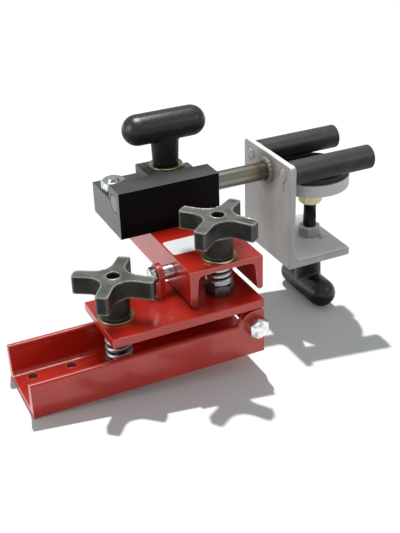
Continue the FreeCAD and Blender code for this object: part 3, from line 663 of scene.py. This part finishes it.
# ---------------------------------------------------------------- split block
# A steel block, milled all over and blackened in oil. A slit behind the rod lets the raised jaw
# close on it, and a bolt with a bright nut holds the block's free corner.
black_oxide = Finish("black_oxide", {"IOR": 1.14})
milled = black_oxide.noise(0.0012, 2.0, stretch=(0.06, 1, 1))
smear = black_oxide.noise(0.02, 3.0)
bare = black_oxide.edge(0.0006, 5.0)
# Painted light: the top and the end faces get lighter colours, and the other sides are nearly black
# as painted shade.
end_light_mask = (black_oxide.facing("x") * black_oxide.facing("x")).within(0.5, 0.9)
top_light_mask = black_oxide.facing("z").within(0.5, 0.95)
shaded_flanks = black_oxide.mix(smear, (0.0035, 0.003, 0.003), (0.007, 0.0065, 0.006))
painted_lit_top = black_oxide.mix(smear, (0.075, 0.075, 0.069), (0.105, 0.106, 0.098))
oxide_with_painted_light = black_oxide.mix(end_light_mask, black_oxide.mix(top_light_mask, shaded_flanks, painted_lit_top), (0.21, 0.21, 0.205))
black_oxide.feed(
    base_color=black_oxide.mix(bare, oxide_with_painted_light, (0.32, 0.32, 0.31)),
    roughness=0.34 + 0.18 * smear,
    normal=black_oxide.bump(milled, 0.00003))
broken("clamp_block", black_oxide, "black_oxide", 0.00035)
broken("block_screws", bright_zinc, "bright_zinc", 0.0003)
broken("side_bolt", bright_zinc, "bright_zinc", 0.0003)
upright_nut("side_nut", bright_zinc, "bright_zinc", 8, half_inch + thread_fit)
upright_nut("jaw_nut", bright_zinc, "bright_zinc", 0, 0.0130)
upright_thread("jaw_stud", middle_of("jaw_nut"), half_inch / 2, bright_zinc, "bright_zinc")

# ---------------------------------------------------------------- T-handles
# Moulded black plastic with a fine leather grain, thick enough to fill the hand: a round-ended bar
# that flows into a flared stem.
grip = Finish("grained_black_plastic", {"IOR": 1.26, "Coat Roughness": 0.26, "Coat IOR": 1.6})
cells = grip.add("TexVoronoi", {"feature": "SMOOTH_F1"},
                 {"Vector": grip.place(), "Scale": 360.0, "Smoothness": 0.5})
grain = cells * 0.7 + 0.3 * grip.noise(0.0006, 2.0)
grip.feed(
    base_color=grip.mix(grip.noise(0.01), (0.005, 0.005, 0.005), (0.012, 0.012, 0.012)),
    roughness=0.34 + 0.16 * grip.noise(0.004),
    # A painted sheen: the clear coat lies on the upward faces only, so only the top shines.
    coat_weight=grip.facing("z").within(-0.1, 0.5),
    normal=grip.bump(grain, 0.0013))
for which in ("upper", "lower"):
    handle = copied(f"{which}_t_handle", f"{which}_t_handle_moulded")
    modify(handle, "REMESH", mode="VOXEL", voxel_size=0.0007)
    modify(handle, "SMOOTH", factor=0.6, iterations=14)
    finished(handle, grip, "black_plastic", f"{which}_handle", f"{which}_t_handle", smooth=80)

# ---------------------------------------------------------------- rod
# Bright drawn bar, finely scored along its length where it slides, and tinted straw and brown by
# the heat of the weld at its right end.
rod_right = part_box("slide_rod")[1].x
turned = Finish("bright_drawn_steel", {"Metallic": 1.0})
score = turned.noise(0.0009, 3.0, stretch=(0.05, 1, 1))
along = turned.part_of(turned.place(), "x")
cloudy = turned.noise(0.008, 2.0)
heat = along + 0.006 * cloudy
tint = turned.add("ValToRGB", {"stops": [(0.0, (0.27, 0.255, 0.22)), (0.45, (0.27, 0.25, 0.215)),
                                         (0.72, (0.28, 0.205, 0.12)), (0.86, (0.17, 0.11, 0.075)),
                                         (1.0, (0.15, 0.14, 0.13))]},
                  {"Fac": heat.within(rod_right - 0.040, rod_right)})
turned.feed(
    base_color=turned.mix(0.35 * score, tint, (0.19, 0.18, 0.165)),
    roughness=0.26 + 0.22 * score,
    normal=turned.bump(score, 0.00005))
broken("slide_rod", turned, "turned_steel", 0.0003)

# ---------------------------------------------------------------- clamp angle and pegs
# A short length of angle iron, painted grey after the rod, the pegs and the screw's nut were
# welded to it. The pegs pass through it and are plug-welded from the rod's side.
grey_paint = Finish("grey_paint", {"IOR": 1.45, "Coat Weight": 0.15, "Coat Roughness": 0.3})
streak = grey_paint.noise(0.02, 3.0, stretch=(1, 1, 0.35))
pebble = grey_paint.noise(0.0022, 2.0)
upright = grey_paint.mix(streak.within(0.25, 0.75), (0.43, 0.43, 0.415), (0.34, 0.34, 0.328))
# Painted light: faces turned up get a much lighter grey than the rest.
grey_with_lit_tops = grey_paint.mix(grey_paint.facing("z").within(0.6, 0.95), upright, (0.86, 0.86, 0.84))
rod_centre = middle_of("slide_rod")
angle_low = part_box("clamp_angle")[0]
spot = grey_paint.place()
sideways = grey_paint.part_of(spot, "y") - rod_centre.y
rising = grey_paint.part_of(spot, "z") - rod_centre.z
outward = grey_paint.part_of(spot, "x").within(angle_low.x + 0.003, angle_low.x)
reach = (sideways * sideways + rising * rising) ** 0.5 + 0.010 * streak
scorch = reach.within(0.034, 0.018) * outward
grey_paint.feed(
    base_color=grey_paint.mix(0.8 * scorch, grey_with_lit_tops, (0.14, 0.115, 0.085)),
    roughness=0.36 + 0.2 * streak,
    normal=grey_paint.bump(pebble, 0.00012))
broken("clamp_angle", grey_paint, "grey_paint", 0.0006, 3)
bpy.ops.object.select_all(action="DESELECT")
ring_radius = 0.0112
bpy.ops.mesh.primitive_torus_add(major_segments=120, minor_segments=14, major_radius=ring_radius,
                                 minor_radius=0.0031)
ring = bpy.context.object
ring.name = "rod_weld_ring"
for vertex in ring.data.vertices:
    bearing = math.atan2(vertex.co.y, vertex.co.x)
    swell = 0.80 + 0.22 * abs(math.sin(bearing * 9)) + 0.07 * math.sin(bearing * 2 + 1)
    spine = Vector((math.cos(bearing), math.sin(bearing), 0)) * ring_radius
    vertex.co = spine + (vertex.co - spine) * swell
ring.matrix_world = Matrix.Translation((angle_low.x - 0.0006, rod_centre.y, rod_centre.z)) @ turn_to_x
finished(ring, grey_paint, "grey_paint", "clamp", "rod_weld", smooth=60)
for side, lumps in (("front", 1.7), ("back", 4.1)):
    core = middle_of(f"peg_core_{side}")
    bpy.ops.object.select_all(action="DESELECT")
    bpy.ops.mesh.primitive_uv_sphere_add(segments=48, ring_count=24, radius=0.0063)
    plug = bpy.context.object
    plug.name = f"plug_weld_{side}"
    for vertex in plug.data.vertices:
        bearing = math.atan2(vertex.co.y, vertex.co.x)
        swell = 1 + 0.10 * math.sin(2 * bearing + lumps) + 0.06 * math.sin(5 * bearing + 2 * lumps)
        crown = 0.30 + 0.05 * math.sin(vertex.co.x * 900 + lumps) * math.cos(vertex.co.y * 700)
        vertex.co = Vector((vertex.co.x * swell, vertex.co.y * swell, vertex.co.z * crown))
    plug.matrix_world = Matrix.Translation((angle_low.x, core.y, core.z)) @ turn_to_x
    finished(plug, grey_paint, "grey_paint", "clamp", smooth=80)
peg = middle_of("peg_core_front")
weld_bead("paint_run", (angle_low.x, peg.y - 0.001, peg.z - 0.019),
          (angle_low.x, peg.y, peg.z - 0.005), 0.0010, grey_paint, "grey_paint", "clamp")
foot_thick = 0.00794
foot_top = angle_low.z + foot_thick
weld_path = ((0.3205, 0.0745), (0.3300, 0.0768), (0.3345, 0.0728), (0.3265, 0.0692))
for letter, start, end in zip("abc", weld_path, weld_path[1:]):
    weld_bead(f"leg_nut_weld_{letter}", (*start, foot_top), (*end, foot_top), 0.0021,
              grey_paint, "grey_paint", "clamp")
rubber = Finish("black_rubber", {"IOR": 1.26, "Coat Roughness": 0.34, "Coat IOR": 1.9})
scuff = rubber.noise(0.0016, 4.0, stretch=(1.4, 0.45, 0.45))
bloom = rubber.noise(0.012, 3.0)
rubber.feed(
    base_color=rubber.mix(bloom * scuff, (0.006, 0.006, 0.006), (0.085, 0.085, 0.085)),
    roughness=0.40 + 0.2 * scuff,
    # A painted sheen: the clear coat lies on the upward faces only, so only the top shines.
    coat_weight=rubber.facing("z").within(0.0, 0.9),
    normal=rubber.bump(scuff, 0.0004))
for side in ("front", "back"):
    broken(f"peg_sleeve_{side}", rubber, "black_rubber", 0.0010, 3)
    broken(f"peg_core_{side}", grey_paint, "grey_paint", 0.0003)

# ---------------------------------------------------------------- clamp screw, pad and lower nuts
# The threaded rod runs through a nut welded to the foot of the angle and turns in the pad's boss.
upright_nut("leg_nut", grey_paint, "grey_paint", 25, 0.0146, edge=0.0006)
upright_nut("pad_nut", yellow_zinc, "yellow_zinc", 2, 0.0144)
blackened = Finish("blackened_thread", {"IOR": 1.3, "Roughness": 0.4})
blackened.feed(
    base_color=blackened.mix(blackened.noise(0.002), (0.006, 0.006, 0.005), (0.022, 0.021, 0.018)),
    normal=blackened.bump(blackened.noise(0.0008), 0.00008))
screw_low, screw_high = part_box("clamp_screw")
upright_thread("clamp_screw", middle_of("leg_nut"), (screw_high.x - screw_low.x) / 2,
               blackened, "dark_steel", pitch=0.00212)
pad_steel = Finish("pad_steel", {"IOR": 1.5, "Metallic": 0.25})
lathed = pad_steel.noise(0.0012, 3.0, stretch=(0.08, 0.08, 1))
pad_steel.feed(
    base_color=pad_steel.mix(lathed, (0.52, 0.52, 0.50), (0.36, 0.36, 0.345)),
    roughness=0.34 + 0.2 * lathed,
    normal=pad_steel.bump(lathed, 0.00005))
broken("pad_disc", pad_steel, "grey_paint", 0.0008, 3)
broken("pad_rubber", rubber, "black_rubber", 0.0008, 3)
